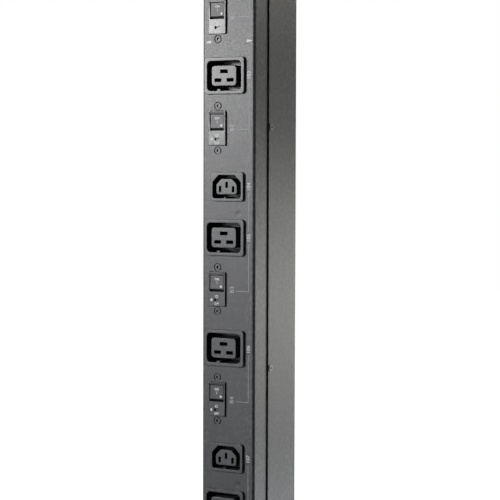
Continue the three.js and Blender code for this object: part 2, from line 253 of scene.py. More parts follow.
def soften(piece, width):
    """Rounds the edges of a carried-over CAD node."""
    bevel = piece.modifiers.new("edges", "BEVEL")
    bevel.width = width
    bevel.segments = 2
    bevel.limit_method = "ANGLE"
    bevel.angle_limit = math.radians(50)
    even_normals(piece)


def stand_for(piece, node, body=CASE):
    """The piece rides on its body in place of a CAD node."""
    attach(piece, body)
    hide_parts(node)
    return piece


def add(piece, body=CASE):
    """A piece with no CAD node of its own."""
    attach(piece, body)
    return piece


def cut(target, cutters):
    """Takes the cutters' solids, which don't touch each other, out of the target."""
    tool = bmesh.new()
    for cutter in cutters:
        tool.from_mesh(cutter.data)
        bpy.data.objects.remove(cutter)
    tool_data = bpy.data.meshes.new("tool")
    tool.to_mesh(tool_data)
    tool.free()
    tool_object = bpy.data.objects.new("tool", tool_data)
    bpy.context.scene.collection.objects.link(tool_object)
    target.modifiers.clear()
    boolean = target.modifiers.new("cut", "BOOLEAN")
    boolean.object = tool_object
    boolean.solver = "EXACT"
    depsgraph = bpy.context.evaluated_depsgraph_get()
    target.data = bpy.data.meshes.new_from_object(target.evaluated_get(depsgraph))
    target.modifiers.clear()
    bpy.data.objects.remove(tool_object)


# ---------------------------------------------------------------- materials


class Finish:
    """A material under construction: a Principled shader and the textures that vary it."""

    def __init__(self, name, color, roughness, metallic=0.0):
        self.material = bpy.data.materials.new(name)
        self.material.use_nodes = True
        self.nodes = self.material.node_tree.nodes
        self.links = self.material.node_tree.links
        self.shader = self.nodes["Principled BSDF"]
        self.color = color
        self.shader.inputs["Base Color"].default_value = (*color, 1)
        self.shader.inputs["Roughness"].default_value = roughness
        self.shader.inputs["Metallic"].default_value = metallic
        self.position = self.nodes.new("ShaderNodeTexCoord").outputs["Object"]
        self.height = None

    def noise(self, size, detail=2.0, stretch=(1, 1, 1)):
        """Noise with grains of about this size, in metres."""
        mapping = self.nodes.new("ShaderNodeMapping")
        mapping.inputs["Scale"].default_value = [1 / (size * s) for s in stretch]
        self.links.new(self.position, mapping.inputs["Vector"])
        texture = self.nodes.new("ShaderNodeTexNoise")
        texture.inputs["Scale"].default_value = 1
        texture.inputs["Detail"].default_value = detail
        self.links.new(mapping.outputs["Vector"], texture.inputs["Vector"])
        return texture.outputs["Fac"]

    def ramp(self, value, low, high, start=0.3, end=0.7):
        """Maps a noise value to a range of numbers."""
        node = self.nodes.new("ShaderNodeMapRange")
        for socket, number in zip(("From Min", "From Max", "To Min", "To Max"), (start, end, low, high)):
            node.inputs[socket].default_value = number
        self.links.new(value, node.inputs["Value"])
        return node.outputs["Result"]

    def mottle(self, value, darker, lighter):
        """The colour goes from darker to lighter times its own value."""
        mix = self.nodes.new("ShaderNodeMix")
        mix.data_type = "RGBA"
        mix.inputs["A"].default_value = (*[c * darker for c in self.color], 1)
        mix.inputs["B"].default_value = (*[c * lighter for c in self.color], 1)
        self.links.new(value, mix.inputs["Factor"])
        self.paint = mix.outputs["Result"]
        self.links.new(self.paint, self.shader.inputs["Base Color"])

    def worn_edges(self, color):
        """Rubbed edges show this lighter colour, in patches."""
        pointiness = self.nodes.new("ShaderNodeNewGeometry").outputs["Pointiness"]
        edge = self.ramp(pointiness, 0, 1, 0.52, 0.6)
        patches = self.ramp(self.noise(3 * MM, 3), 0, 1, 0.45, 0.65)
        both = self.nodes.new("ShaderNodeMath")
        both.operation = "MULTIPLY"
        self.links.new(edge, both.inputs[0])
        self.links.new(patches, both.inputs[1])
        mix = self.nodes.new("ShaderNodeMix")
        mix.data_type = "RGBA"
        self.links.new(both.outputs["Value"], mix.inputs["Factor"])
        self.links.new(self.paint, mix.inputs["A"])
        mix.inputs["B"].default_value = (*color, 1)
        self.links.new(mix.outputs["Result"], self.shader.inputs["Base Color"])

    def uneven_gloss(self, value, low, high):
        """The roughness goes from low to high with the noise."""
        self.links.new(self.ramp(value, low, high), self.shader.inputs["Roughness"])

    def bump(self, value, distance):
        """Raises the surface by up to distance metres."""
        node = self.nodes.new("ShaderNodeBump")
        node.inputs["Distance"].default_value = distance
        node.inputs["Strength"].default_value = 1.0
        self.links.new(value, node.inputs["Height"])
        if self.height:
            self.links.new(self.height, node.inputs["Normal"])
        self.height = node.outputs["Normal"]
        self.links.new(self.height, self.shader.inputs["Normal"])


def powder_coat():
    """Textured black paint: a speckled grain over a coarser orange peel."""
    finish = Finish("powder_coat", (0.024, 0.0245, 0.027), 0.44)
    grain = finish.noise(0.7 * MM, 3)
    finish.mottle(finish.ramp(grain, 0, 1), 0.7, 1.4)
    finish.worn_edges((0.06, 0.06, 0.062))
    finish.uneven_gloss(finish.noise(1.4 * MM, 1), 0.395, 0.485)
    finish.bump(finish.noise(1.1 * MM, 1), 0.08 * MM)
    finish.bump(grain, 0.04 * MM)
    return finish.material


def moulded(name, color, roughness, grain=0.3 * MM, depth=0.008 * MM):
    """A moulded plastic with a fine grain of some depth, paler where its edges are rubbed."""
    finish = Finish(name, color, roughness)
    texture = finish.noise(grain)
    finish.mottle(finish.noise(4 * MM), 0.9, 1.12)
    finish.worn_edges([2.5 * c for c in color])
    finish.uneven_gloss(texture, roughness - 0.05, roughness + 0.06)
    finish.bump(texture, depth)
    return finish.material


def metal(name, color, roughness, stretch=(1, 1, 1)):
    """Bare or plated metal with faint scratches, which stretch draws out along an axis."""
    finish = Finish(name, color, roughness, metallic=1.0)
    scratches = finish.noise(0.4 * MM, 3, stretch)
    finish.mottle(finish.noise(2 * MM), 0.9, 1.1)
    finish.uneven_gloss(scratches, roughness - 0.08, roughness + 0.12)
    finish.bump(scratches, 0.004 * MM)
    return finish.material


def ink(name, color):
    """Matt printing ink."""
    finish = Finish(name, color, 0.6)
    finish.mottle(finish.noise(0.5 * MM), 0.85, 1.0)
    finish.bump(finish.noise(0.3 * MM), 0.004 * MM)
    return finish.material


POWDER = powder_coat()
OUTLET = moulded("outlet_plastic", (0.024, 0.0243, 0.026), 0.4, depth=0.006 * MM)
BREAKER = moulded("breaker_plastic", (0.018, 0.018, 0.019), 0.35, depth=0.003 * MM)
ROCKER = moulded("rocker_plastic", (0.026, 0.0262, 0.0275), 0.48, depth=0.006 * MM)
CAP = moulded("cap_plastic", (0.022, 0.022, 0.023), 0.45, 0.5 * MM, 0.015 * MM)
GLAND = moulded("gland_plastic", (0.022, 0.022, 0.024), 0.4)
INSULATOR = moulded("insulator_plastic", (0.45, 0.45, 0.43), 0.5)
RUBBER = moulded("seal_rubber", (0.015, 0.015, 0.015), 0.75)
BLACK_SCREW = metal("black_screw", (0.058, 0.058, 0.06), 0.45)
# The side screws' black metal is made lighter than the breaker screws' as painted sheen: it copies the
# side lights' reflection on their heads, not rubbing.
PAINTED_SHEEN_SCREW = metal("black_screw_painted_sheen", (0.14, 0.14, 0.142), 0.45)
NICKEL = metal("nickel", (0.62, 0.6, 0.56), 0.25)
COPPER = metal("copper", (0.72, 0.36, 0.2), 0.3, (1, 1, 30))
# Real contact metal, darkened to a dark grey as painted shade of the deep slots.
SHADE_DARKENED_CONTACT = metal("contact_metal_painted_shade", (0.16, 0.15, 0.13), 0.5)
WHITE_INK = ink("white_ink", (0.62, 0.63, 0.65))
GREY_INK = ink("grey_ink", (0.34, 0.35, 0.37))
BLACK_INK = ink("black_ink", (0.012, 0.012, 0.013))


# ---------------------------------------------------------------- case

SHEET = 1 * MM
BEND = 2.5 * MM
BEND_STEPS = 10
EDGE = 0.2 * MM  # rounding of a cut sheet edge
CUTTER_STEPS = 24  # segments round a small hole in a sheet
BEFORE = 2 * MM  # levels between which a cutter runs through the front
BEHIND = -3 * MM
SIDE_SCREWS = range(1, 6)  # on each side
SCREW_HEAD = 3.5 * MM  # radii of a panel screw's head and shank
SCREW_SHANK = 1.7 * MM
SIDE_SCREW_HOLE = 1.8 * MM
PEG_HOLE = 3.8 * MM
LARGE_OPENING = rectangle(40.6 * MM, 31.9 * MM, 3.3 * MM)
SMALL_OPENING = rectangle(33.4 * MM, 25.1 * MM, 2.8 * MM)
BOSS_OPENING = rectangle(18.8 * MM, 32.6 * MM, 1.1 * MM)
DIMPLE_PLACE = (22.1 * MM, 70.6 * MM)  # from a breaker's centre


def bend_arc(half_width, radius):
    """One side of a channel's right bend, from its flat face round to its flange."""
    points = []
    for step in range(BEND_STEPS + 1):
        angle = math.pi / 2 * step / BEND_STEPS
        across = half_width - BEND + math.sin(angle) * radius
        points.append(Vector((across, BEND - math.cos(angle) * radius)))
    return points


def folded_section(half_width, depth):
    """A folded channel's cross-section: (x, distance from its flat outer face)."""
    lip = [
        Vector((half_width, depth - EDGE)),
        Vector((half_width - EDGE, depth)),
        Vector((half_width - SHEET + EDGE, depth)),
        Vector((half_width - SHEET, depth - EDGE)),
    ]
    right = bend_arc(half_width, BEND) + lip + bend_arc(half_width, BEND - SHEET)[::-1]
    left = [Vector((-p.x, p.y)) for p in reversed(right)]
    return right + left


def folded_channel(node, towards):
    """Stands for a node's folded sheet, whose flanges run towards +1 or -1 in Y."""
    low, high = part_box(node)
    loop = folded_section(high.x, high.y - low.y)
    face_y = low.y if towards > 0 else high.y
    mesh = bmesh.new()
    ends = []
    for z in (low.z, high.z):
        ends.append([mesh.verts.new((p.x, face_y + towards * p.y, z)) for p in loop])
    join(mesh, *ends)
    for end in ends:
        mesh.faces.new(end)
    return piece_from(mesh, "folded_" + node, POWDER)


def cutter(place, specs):
    """A solid through the rings in specs that is cut out of a sheet."""
    shell = Shell(place)
    shell.bar(specs)
    return shell.piece("cutter", POWDER)


def front_hole(outline, x, z):
    """A cutter straight through the front face."""
    return cutter(facing_front(x, z), [(outline, 0, BEFORE), (outline, 0, 0.0), (outline, 0, BEHIND)])


def countersunk_hole(x, z):
    """A cutter through the front face for a panel screw's head, which narrows to its neck."""
    head = Circle(SCREW_HEAD + 1.5 * GAP)
    neck = Circle(SCREW_SHANK + GAP)
    rings = [(head, 0, BEFORE), (head, 0, 0.0), (head, 0.1 * MM, -0.7 * MM)]
    rings += [(neck, 0, -0.9 * MM), (neck, 0, BEHIND)]
    return cutter(facing_front(x, z), rings)


def dimple(x, z):
    """A cutter for a shallow round dent in the front face."""
    profile = [(3.3, 1), (3.3, 0), (2.9, -0.07), (1.6, -0.18), (0.3, -0.21)]
    rings = [(Circle(radius * MM, steps=CUTTER_STEPS), 0, level * MM) for radius, level in profile]
    return cutter(facing_front(x, z), rings)


def side_screw_holes():
    """Cutters right across the case, for the side screws of both sides."""
    cutters = []
    circle = Circle(SIDE_SCREW_HOLE, steps=CUTTER_STEPS)
    for place in SIDE_SCREWS:
        screw = middle(f"side_screw_right_{place}")
        across = lambda a, b, level: Vector((level, screw.y + a, screw.z + b))
        cutters.append(cutter(across, [(circle, 0, -60 * MM), (circle, 0, 60 * MM)]))
    return cutters


def front_cover():
    """The folded cover with its openings, screw holes and dimples."""
    cover = folded_channel("front_cover", 1)
    cutters = []
    for node in LARGE_OUTLETS:
        cutters.append(front_hole(LARGE_OPENING, middle(node).x, middle(node).z))
    for node in SMALL_OUTLETS:
        cutters.append(front_hole(SMALL_OPENING, middle(node).x, middle(node).z))
    for number in GROUPS:
        centre = middle(f"breaker_{number}")
        cutters.append(front_hole(BOSS_OPENING, centre.x, centre.z))
        for place in ("upper", "lower"):
            screw = middle(f"breaker_screw_{number}_{place}")
            cutters.append(countersunk_hole(screw.x, screw.z))
        if number % 2:
            cutters.append(dimple(centre.x + DIMPLE_PLACE[0], centre.z + DIMPLE_PLACE[1]))
    cutters += side_screw_holes()
    cut(cover, cutters)
    finish_sheet(cover)
    stand_for(cover, "front_cover")


def finish_sheet(piece):
    """Smooths a cut sheet and marks its sharp edges again."""
    mesh = bmesh.new()
    mesh.from_mesh(piece.data)
    smooth(mesh)
    mesh.to_mesh(piece.data)
    mesh.free()
    even_normals(piece)


def rear_channel():
    """The folded channel behind, with holes for the side screws and pegs."""
    channel = folded_channel("rear_channel", -1)
    cutters = side_screw_holes()
    circle = Circle(PEG_HOLE)
    for place in ("upper", "lower"):
        peg = middle(f"mounting_peg_{place}")
        through = lambda a, b, level: Vector((a, level, peg.z + b))
        cutters.append(cutter(through, [(circle, 0, -5 * MM), (circle, 0, 5 * MM)]))
    cut(channel, cutters)
    finish_sheet(channel)
    stand_for(channel, "rear_channel")


# ---------------------------------------------------------------- outlets


class OutletShape:
    """The outlines and depths of one size of outlet, about its bezel's centre."""

    def __init__(self, body, bezel, well, island, slots, ribs, proud, well_depth, body_depth):
        self.body, self.bezel, self.well, self.island, self.slots = body, bezel, well, island, slots
        self.ribs, self.proud, self.floor, self.back = ribs, proud, proud - well_depth, -body_depth


LARGE = OutletShape(
    body=rectangle(40 * MM, 31.3 * MM, 3 * MM),
    bezel=rectangle(42.6 * MM, 33.9 * MM, 3 * MM),
    well=rectangle(36.3 * MM, 27.6 * MM, 4 * MM),
    island=rectangle(26.5 * MM, 18.8 * MM, 3 * MM),
    slots=[
        rectangle(7.8 * MM, 2.9 * MM, 0.3 * MM, centre=(0.0, 3.95 * MM)),
        rectangle(6.9 * MM, 2.9 * MM, 0.3 * MM, centre=(-6.5 * MM, -4.05 * MM)),
        rectangle(6.9 * MM, 2.9 * MM, 0.3 * MM, centre=(6.5 * MM, -4.05 * MM)),
    ],
    ribs=[(-6.1 * MM, 3.6 * MM, 1.3 * MM)],
    proud=2.6 * MM,
    well_depth=20 * MM,
    body_depth=25 * MM,
)
SMALL = OutletShape(
    body=rectangle(32.8 * MM, 24.5 * MM, 2.5 * MM),
    bezel=rectangle(35.2 * MM, 26.9 * MM, 2.5 * MM),
    well=rectangle(30.1 * MM, 21.6 * MM, 2.5 * MM, 6.5 * MM),
    island=rectangle(22.3 * MM, 14.6 * MM, 2.5 * MM, 5.3 * MM),
    slots=[
        rectangle(2.2 * MM, 5.2 * MM, 0.3 * MM, centre=(0.0, 1.7 * MM)),
        rectangle(2.2 * MM, 5.2 * MM, 0.3 * MM, centre=(-7 * MM, -2.3 * MM)),
        rectangle(2.2 * MM, 5.2 * MM, 0.3 * MM, centre=(7 * MM, -2.3 * MM)),
    ],
    ribs=[(-2.2 * MM, 2.4 * MM, 0.9 * MM)],
    proud=2.6 * MM,
    well_depth=16 * MM,
    body_depth=23 * MM,
)
SLOT_DEPTH = 14 * MM
ISLAND_SINK = 0.15 * MM  # from the bezel's face back to the island's


def outlet(node, shape):
    """An outlet's moulding: body, bezel, well and the island with its slots."""
    centre = middle(node)
    shell = Shell(facing_front(centre.x, centre.z))
    front = shape.proud
    chamfer = 0.6 * MM
    sides = [
        (shape.body, chamfer, shape.back),
        (shape.body, 0, shape.back + chamfer),
        (shape.body, 0, GAP),
        (shape.bezel, 0, GAP),
    ]
    back, rim = shell.wall(sides + outer_round(shape.bezel, front, 0.4 * MM))
    shell.face(back)
    drafted = (shape.well, 0.25 * MM, shape.floor)
    mouth, floor = shell.wall(mouth_round(shape.well, front, 0.35 * MM) + [drafted])
    shell.face(rim, mouth)
    island_front = front - ISLAND_SINK
    drafted = (shape.island, -0.2 * MM, shape.floor)
    foot, top = shell.wall([drafted] + outer_round(shape.island, island_front, 0.5 * MM))
    shell.face(floor, foot)
    slots = []
    for slot in shape.slots:
        lead_in = [(slot, -0.3 * MM, island_front), (slot, 0, front - 0.5 * MM)]
        slots.append(shell.pocket(lead_in + [(slot, 0, front - SLOT_DEPTH)]))
    shell.face(top, *slots)
    stand_for(shell.piece("moulded_" + node, OUTLET), node)


def key_ribs(node, shape):
    """The small ribs along the lower wall of the well: (x, width, height)."""
    centre = middle(node)
    shell = Shell(facing_front(centre.x, centre.z))
    wall = min(corner.y for corner in shape.well.corners)
    front, chamfer = shape.proud - 0.9 * MM, 0.3 * MM
    for x, width, height in shape.ribs:
        rib = rectangle(width, height + 0.8 * MM, 0.4 * MM, centre=(x, wall + height / 2 - 0.1 * MM))
        shell.bar([(rib, 0, shape.floor + GAP), (rib, 0, front - chamfer), (rib, chamfer, front)])
    add(shell.piece("key_ribs_" + node, OUTLET))


def contacts(node, shape):
    """The sprung contact blades deep in an outlet's slots."""
    centre = middle(node)
    shell = Shell(facing_front(centre.x, centre.z))
    thickness = 0.35 * MM
    back, front = shape.proud - SLOT_DEPTH + 0.2 * MM, shape.proud - 9 * MM
    for slot in shape.slots:
        corners = slot.corners
        width = corners[1].x - corners[0].x
        height = corners[2].y - corners[1].y
        slot_centre = (corners[0] + corners[2]) / 2
        along = width > height
        for side in (-1, 1):
            shift = side * (min(width, height) / 2 - thickness)
            offset = Vector((0, shift)) if along else Vector((shift, 0))
            size = (width - MM, thickness) if along else (thickness, height - MM)
            blade = rectangle(*size, 0.05 * MM, centre=slot_centre + offset)
            shell.bar([(blade, 0, back), (blade, 0, front)])
    # The blades take the darkened contact metal, which is painted shade of the slots.
    add(shell.piece("contacts_" + node, SHADE_DARKENED_CONTACT))


# ---------------------------------------------------------------- breakers


def window_outline(half_width, bottom, top):
    """A window in the breaker's boss, whose bottom and top are heights above the breaker's centre."""
    return rectangle(2 * half_width, top - bottom, 0.4 * MM, centre=(0.0, (top + bottom) / 2))


BODY = rectangle(19 * MM, 50 * MM, 0.5 * MM)
BODY_BACK = -47 * MM
BOSS = rectangle(18.2 * MM, 32 * MM, 0.8 * MM)
WINDOW = window_outline(7.6 * MM, -2.2 * MM, 13.4 * MM)
WINDOW_MOUTH = window_outline(7.75 * MM, -2.35 * MM, 15.4 * MM)  # its top edge slopes down to the rocker
WINDOW_SLOPE = 0.28 * MM  # depth of that slope
CAVITY = window_outline(7.6 * MM, -13.5 * MM, 13.4 * MM)
CAVITY_FLOOR = -9 * MM
BREAKER_FRONT = 1.8 * MM
GUARD_BACK = 0.9 * MM
TRIP_PLACE = (-1.6 * MM, -10.1 * MM)
TRIP_HOLE = Circle(1.2 * MM, TRIP_PLACE)


def breaker(number):
    """A breaker's moulding: body, boss, and the rocker's window and cavity behind the guard."""
    node = f"breaker_{number}"
    centre = middle(node)
    shell = Shell(facing_front(centre.x, centre.z))
    panel_back = -SHEET - GAP
    sides = [(BODY, 0, BODY_BACK), (BODY, 0, panel_back), (BOSS, 0, panel_back)]
    back, rim = shell.wall(sides + outer_round(BOSS, BREAKER_FRONT, 0.35 * MM))
    shell.face(back)
    slope_end = BREAKER_FRONT - WINDOW_SLOPE
    window, under = shell.wall(
        [(WINDOW_MOUTH, 0, BREAKER_FRONT), (WINDOW, 0, slope_end), (WINDOW, 0, GUARD_BACK)]
    )
    cavity, floor = shell.wall([(CAVITY, 0, GUARD_BACK), (CAVITY, 0, CAVITY_FLOOR)])
    trip_mouth = mouth_round(TRIP_HOLE, BREAKER_FRONT, 0.2 * MM)
    trip, trip_end = shell.wall(trip_mouth + [(TRIP_HOLE, 0, GUARD_BACK)])
    shell.face(rim, window, trip)
    shell.face(cavity, under, trip_end)
    shell.face(floor)
    stand_for(shell.piece("moulded_" + node, BREAKER), node)


ROCKER_HALF = 7.25 * MM
PADDLE_FOOT = (0.1 * MM, 1.4 * MM)  # height above the breaker's centre, distance in front of the case
PADDLE_TIP = (12.9 * MM, 1.2 * MM)
PADDLE_DISH = 0.08 * MM
PADDLE_STEPS = 8


def paddle_front(height):
    """How far the switched-on rocker's slightly hollow paddle stands in front of the case."""
    share = (height - PADDLE_FOOT[0]) / (PADDLE_TIP[0] - PADDLE_FOOT[0])
    flat = PADDLE_FOOT[1] + (PADDLE_TIP[1] - PADDLE_FOOT[1]) * share
    return flat - PADDLE_DISH * 4 * share * (1 - share)


def rocker_outline():
    """Side outline of the rocker: (height above the breaker's centre, distance in front of the case)."""
    reach = PADDLE_TIP[0] - PADDLE_FOOT[0]
    heights = [PADDLE_FOOT[0] + reach * step / PADDLE_STEPS for step in range(PADDLE_STEPS + 1)]
    behind = [(13, -1), (2, -5), (-4.5, -5), (-12, -2.4), (-12, -1), (-4, -1), (-4, -5)]
    return [(z, paddle_front(z)) for z in heights] + [(z * MM, front * MM) for z, front in behind]


def rocker(number):
    """A rocker with rounded edges, which turns with its own body."""
    node = f"rocker_{number}"
    centre = middle(f"breaker_{number}")
    mesh = bmesh.new()
    sides = []
    for x in (-ROCKER_HALF, ROCKER_HALF):
        outline = [(centre.x + x, FRONT - front, centre.z + z) for z, front in rocker_outline()]
        sides.append([mesh.verts.new(point) for point in outline])
    join(mesh, *sides)
    for side in sides:
        mesh.faces.new(side)
    bmesh.ops.recalc_face_normals(mesh, faces=mesh.faces)
    edges = [edge for edge in mesh.edges if edge.calc_face_angle() > SHARP_ANGLE]
    bmesh.ops.bevel(mesh, geom=edges, offset=0.3 * MM, segments=3, profile=0.5, affect="EDGES")
    stand_for(piece_from(mesh, "moulded_" + node, ROCKER), node, body=node)


# ---------------------------------------------------------------- fasteners


SOCKET_LOBE = 0.12 * MM


def socket_screw(shell, rings, socket, depth):
    """A screw through the rings, from its tip to the flat top of its head, with a six-lobe socket."""
    tip, rim = shell.wall(rings)
    top = rings[-1][2]
    shell.face(tip)
    mouth = shell.pocket([(socket, 0, top), (socket, 0, top - depth)])
    shell.face(rim, mouth)


def panel_screw(node):
    """A countersunk breaker screw, flush with the front face."""
    centre = middle(node)
    shell = Shell(facing_front(centre.x, centre.z))
    head, shank = Circle(SCREW_HEAD), Circle(SCREW_SHANK)
    rings = [
        (shank, 0.3 * MM, -9 * MM),
        (shank, 0, -8.6 * MM),
        (shank, 0, -1.2 * MM),
        (head, 0.2 * MM, -0.62 * MM),
        (head, 0.3 * MM, -0.5 * MM),
        (head, 0.45 * MM, -0.08 * MM),
        (head, 0.6 * MM, 0.0),
        (head, 0.75 * MM, 0.0),
    ]
    socket_screw(shell, rings, Circle(1.35 * MM, lobe=SOCKET_LOBE), 3.2 * MM)
    stand_for(shell.piece("turned_" + node, BLACK_SCREW), node)


def side_screw(node):
    """A low-headed screw, whose head lies on the side of the case."""
    low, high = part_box(node)
    centre = middle(node)
    side = 1 if centre.x > 0 else -1
    top = 0.5 * MM
    seat = max(abs(low.x), abs(high.x)) - top
    shell = Shell(lambda a, b, level: Vector((side * (seat + level), centre.y + a, centre.z + b)))
    head, shank = Circle(3.3 * MM), Circle(1.5 * MM)
    rings = [
        (shank, 0, -5.3 * MM),
        (shank, 0, 0.0),
        (head, 0, 0.0),
        (head, 0, top - 0.2 * MM),
        (head, 0.1 * MM, top - 0.05 * MM),
        (head, 0.35 * MM, top),
        (head, 0.5 * MM, top),
    ]
    socket_screw(shell, rings, Circle(1.1 * MM, lobe=SOCKET_LOBE), 0.9 * MM)
    # The head takes the lighter screw metal, a painted sheen of the side lights.
    stand_for(shell.piece("turned_" + node, PAINTED_SHEEN_SCREW), node)


def mounting_peg(node):
    """A turned peg: its inner collar, the collar on the back face, the neck and the head."""
    centre = middle(node)
    inner = [(4.6, -2.9), (5, -2.5), (5, -1.3), (3.5, -1.3), (3.5, 0.3)]
    collar = [(5.2, 0.3), (5.5, 0.6), (5.5, 1.1), (5.2, 1.3), (3.5, 1.3)]
    neck = [(3.3, 1.6), (3.3, 3.1), (3.5, 3.4)]
    head = [(6.1, 3.4), (6.5, 3.8), (6.5, 5.3), (6.35, 5.7), (5.9, 6)]
    shell = Shell(lambda a, b, level: Vector((a, level, centre.z + b)))
    shell.bar([(Circle(r * MM), 0, y * MM) for r, y in inner + collar + neck + head])
    stand_for(shell.piece("turned_" + node, NICKEL), node)


# ---------------------------------------------------------------- gland

GLAND_AXIS = middle("gland_body")
CAP_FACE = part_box("bottom_cap")[0].z
REACH = 17.32 * MM  # from the axis to a corner of the hexagon
CORNER_ANGLES = [math.radians(60 * corner + 30) for corner in range(6)]
HEXAGON = Outline([(REACH * math.cos(a), REACH * math.sin(a)) for a in CORNER_ANGLES], 0.9 * MM)
GLAND_CHAMFER = 0.4 * MM
THREADS = 9
PITCH = 1.2 * MM
INNER_END = -12 * MM  # levels below the bottom cap's face
FLANGE_TOP = 0.3 * MM
FLANGE_END = 6.3 * MM
SPIGOT_END = 16.3 * MM
SEAT_TOP = SPIGOT_END - 7.6 * MM
NUT_TOP = 6.6 * MM
NUT_END = 25.6 * MM


class Matched:
    """A circle with as many points as the hexagon, each at the same angle."""

    def __init__(self, radius):
        self.radius = radius

    def ring(self, inset=0.0):
        return [point.normalized() * (self.radius - inset) for point in HEXAGON.ring()]


CORD_BORE = Matched(8.5 * MM)


def below_cap(a, b, level):
    """A place round the gland's axis, level metres below the bottom cap."""
    return Vector((GLAND_AXIS.x + a, GLAND_AXIS.y + b, CAP_FACE - level))


def gland_body():
    """A threaded end inside the case, a hexagonal flange and the spigot that the seal sits in."""
    thread, spigot, seat = Matched(12.5 * MM), Matched(11.8 * MM), Matched(10.5 * MM)
    rings = [(CORD_BORE, 0, INNER_END), (thread, 0.6 * MM, INNER_END)]
    for turn in range(THREADS):
        level = INNER_END + PITCH / 2 + turn * PITCH
        rings += [(thread, 0.5 * MM, level), (thread, 0, level + PITCH / 2)]
    rings += [
        (thread, 0.2 * MM, FLANGE_TOP),
        (HEXAGON, GLAND_CHAMFER, FLANGE_TOP),
        (HEXAGON, 0, FLANGE_TOP + GLAND_CHAMFER),
        (HEXAGON, 0, FLANGE_END - GLAND_CHAMFER),
        (HEXAGON, GLAND_CHAMFER, FLANGE_END),
        (spigot, 0, FLANGE_END),
        (spigot, 0, SPIGOT_END - GLAND_CHAMFER),
        (spigot, GLAND_CHAMFER, SPIGOT_END),
        (seat, 0, SPIGOT_END),
        (seat, 0, SEAT_TOP),
        (CORD_BORE, 0, SEAT_TOP),
    ]
    shell = Shell(below_cap)
    shell.tube(rings)
    stand_for(shell.piece("moulded_gland_body", GLAND), "gland_body")


def gland_nut():
    """A hexagonal cap nut that ends in a dome round the cord."""
    hollow = Matched(12.1 * MM)
    rings = [
        (hollow, 0, NUT_TOP),
        (HEXAGON, GLAND_CHAMFER, NUT_TOP),
        (HEXAGON, 0, NUT_TOP + GLAND_CHAMFER),
        (HEXAGON, 0, NUT_END - 9 * MM),
        (HEXAGON, 0.9 * MM, NUT_END - 7.6 * MM),
    ]
    for radius, before_end in ((14, 6), (13.4, 3), (12.2, 1.2), (10.6, 0.3), (9.2, 0)):
        rings.append((Matched(radius * MM), 0, NUT_END - before_end * MM))
    rings += [
        (CORD_BORE, 0, NUT_END - 0.6 * MM),
        (CORD_BORE, 0, SPIGOT_END + GAP),
        (hollow, 0, SPIGOT_END + GAP),
    ]
    shell = Shell(below_cap)
    shell.tube(rings)
    stand_for(shell.piece("moulded_gland_nut", GLAND), "gland_nut")


def gland_seal():
    """The rubber ring in the spigot."""
    outer, inner = Circle(10.2 * MM), Circle(8.7 * MM)
    bottom = SPIGOT_END - GAP
    top = bottom - 7 * MM
    chamfer = 0.3 * MM
    shell = Shell(below_cap)
    shell.tube(
        [
            (inner, 0, top),
            (outer, chamfer, top),
            (outer, 0, top + chamfer),
            (outer, 0, bottom - chamfer),
            (outer, chamfer, bottom),
            (inner, 0, bottom),
        ]
    )
    stand_for(shell.piece("moulded_gland_seal", RUBBER), "gland_seal")


# ---------------------------------------------------------------- printed marks


INK_HALF = 0.01 * MM  # half of the ink's thickness
PRINT_LIFT = 0.02 * MM  # from the printed surface to the middle of the ink
CAPITAL_SHARE = 0.7  # a capital letter's height over the font size
LABEL_X = 22 * MM  # column of the outlet labels
LABEL_HALF = 5.5 * MM  # half of the gap that a line leaves for a label
LINE = 0.35 * MM


class Print:
    """Thin printed marks on a surface that faces the front."""

    def __init__(self, front=lambda z: 0.0):
        self.mesh = bmesh.new()
        self.front = front  # how far the printed surface stands in front of the case at a height

    def upright(self, x, z, quarter_turns=0):
        """A transform from the drawing plane to the front, about a point on it."""
        turn = Matrix.Rotation(math.pi / 2 * quarter_turns, 4, "Z")
        stand = Matrix.Rotation(math.pi / 2, 4, "X")
        return Matrix.Translation((x, FRONT, z)) @ stand @ turn

    def text(self, words, x, z, height, quarter_turns=0, bold=0.0):
        """Letters centred on (x, z), whose capitals have this height."""
        curve = bpy.data.curves.new("letters", "FONT")
        curve.body = words
        curve.size = height / CAPITAL_SHARE
        curve.align_x, curve.align_y = "CENTER", "CENTER"
        curve.extrude = INK_HALF
        curve.offset = bold
        curve.resolution_u = 3
        letters = bpy.data.objects.new("letters", curve)
        bpy.context.scene.collection.objects.link(letters)
        depsgraph = bpy.context.evaluated_depsgraph_get()
        data = bpy.data.meshes.new_from_object(letters.evaluated_get(depsgraph))
        data.transform(self.upright(x, z, quarter_turns))
        self.mesh.from_mesh(data)
        bpy.data.objects.remove(letters)
        bpy.data.meshes.remove(data)

    def shape(self, points, x, z):
        """A flat printed shape from points about (x, z)."""
        place = self.upright(x, z)
        rings = []
        for level in (-INK_HALF, INK_HALF):
            rings.append([self.mesh.verts.new(place @ Vector((a, b, level))) for a, b in points])
        join(self.mesh, *rings)
        for ring in rings:
            self.mesh.faces.new(ring)

    def bar(self, x0, z0, x1, z1):
        """A printed rectangle between two opposite corners."""
        self.shape([(x0, z0), (x1, z0), (x1, z1), (x0, z1)], 0, 0)

    def dot(self, x, z, radius):
        """A printed dot."""
        self.shape([tuple(p) for p in Circle(radius, steps=20).ring()], x, z)

    def piece(self, name, material):
        """The marks as one piece, moved out to the surface that they are printed on."""
        for vert in self.mesh.verts:
            vert.co.y -= self.front(vert.co.z) + PRINT_LIFT
        return piece_from(self.mesh, name, material)


